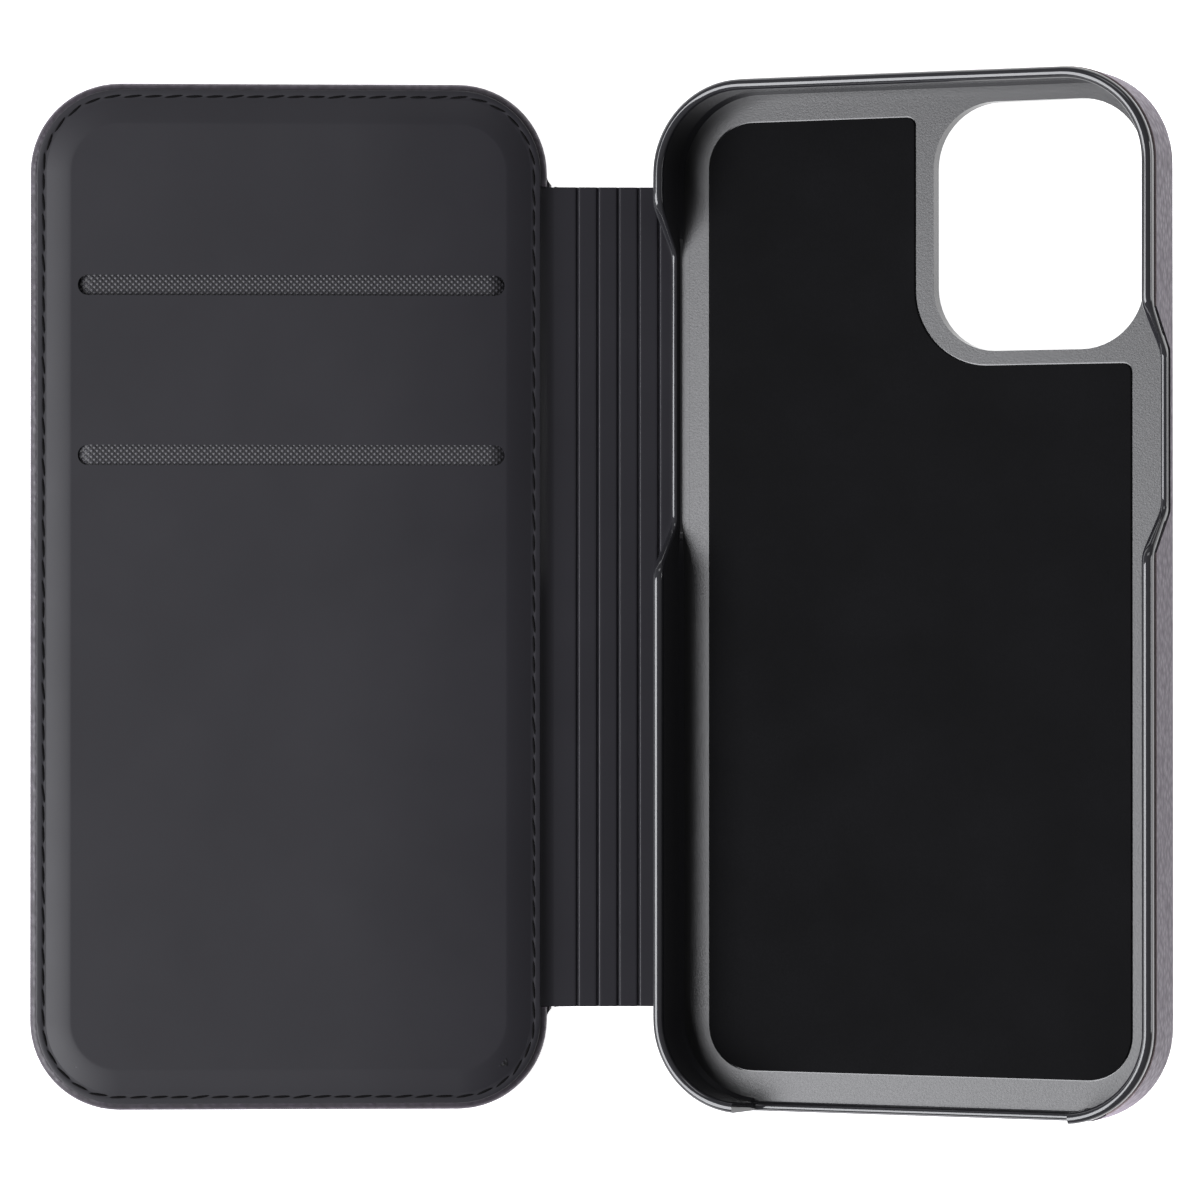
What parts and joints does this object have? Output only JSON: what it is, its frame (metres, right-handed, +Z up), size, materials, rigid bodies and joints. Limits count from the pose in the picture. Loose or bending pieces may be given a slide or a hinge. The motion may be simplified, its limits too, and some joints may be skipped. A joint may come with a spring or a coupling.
{
  "type": "folio phone case",
  "caption": "Folio phone wallet case: padded stitched cover with card pockets, ribbed folding spine and a hard phone tray with camera window.",
  "frame": {"origin": "middle of the cover's outer face, which lies on the table", "axes": "+X from the cover across the spine to the phone tray, +Y towards the camera end, +Z up out of the cover's lining"},
  "size_m": [0.1489, 0.1368, 0.0381],
  "materials": {
    "outer_leather": "satin",
    "smooth_lining": "matte",
    "woven_lining": "matte",
    "thread": "satin",
    "foam_padding": "matte",
    "fibre_board": "matte",
    "core_plastic": "matte",
    "magnet_metal": "satin",
    "tray_plastic": "gloss",
    "microfibre": "matte",
    "strip_steel": "satin"
  },
  "bodies": {
    "cover": {"cover_leather": "outer_leather", "cover_board": "fibre_board", "closure_magnets": "magnet_metal", "cover_padding": "foam_padding", "upper_pocket_fabric": "woven_lining", "lower_pocket_fabric": "woven_lining", "cover_lining": "smooth_lining", "cover_stitching": "thread"},
    "band_1": {"spine_leather_1": "outer_leather", "spine_core_1": "core_plastic", "spine_lining_1": "smooth_lining"},
    "band_2": {"spine_leather_2": "outer_leather", "spine_core_2": "core_plastic", "spine_lining_2": "smooth_lining"},
    "band_3": {"spine_leather_3": "outer_leather", "spine_core_3": "core_plastic", "spine_lining_3": "smooth_lining"},
    "band_4": {"spine_leather_4": "outer_leather", "spine_core_4": "core_plastic", "spine_lining_4": "smooth_lining"},
    "band_5": {"spine_leather_5": "outer_leather", "spine_core_5": "core_plastic", "spine_lining_5": "smooth_lining"},
    "band_6": {"spine_leather_6": "outer_leather", "spine_core_6": "core_plastic", "spine_lining_6": "smooth_lining"},
    "tray": {"phone_tray": "tray_plastic", "tray_leather": "outer_leather", "tray_pad": "microfibre", "keeper_strips": "strip_steel"}
  },
  "joints": [
    {"name": "cover_fold", "type": "hinge", "parent": "cover", "child": "band_1", "pos_m": [0.0351, 0, 0], "axis": [0, -1, 0], "range_deg": [-45, 45]},
    {"name": "groove_fold_1", "type": "hinge", "parent": "band_1", "child": "band_2", "pos_m": [0.03848, 0, 0], "axis": [0, -1, 0], "range_deg": [-18, 18]},
    {"name": "groove_fold_2", "type": "hinge", "parent": "band_2", "child": "band_3", "pos_m": [0.0412, 0, 0], "axis": [0, -1, 0], "range_deg": [-18, 18]},
    {"name": "groove_fold_3", "type": "hinge", "parent": "band_3", "child": "band_4", "pos_m": [0.04393, 0, 0], "axis": [0, -1, 0], "range_deg": [-18, 18]},
    {"name": "groove_fold_4", "type": "hinge", "parent": "band_4", "child": "band_5", "pos_m": [0.04665, 0, 0], "axis": [0, -1, 0], "range_deg": [-18, 18]},
    {"name": "groove_fold_5", "type": "hinge", "parent": "band_5", "child": "band_6", "pos_m": [0.04937, 0, 0], "axis": [0, -1, 0], "range_deg": [-18, 18]},
    {"name": "tray_fold", "type": "hinge", "parent": "band_6", "child": "tray", "pos_m": [0.0521, 0, 0], "axis": [0, -1, 0], "range_deg": [-69.8, 20.2]}
  ]
}
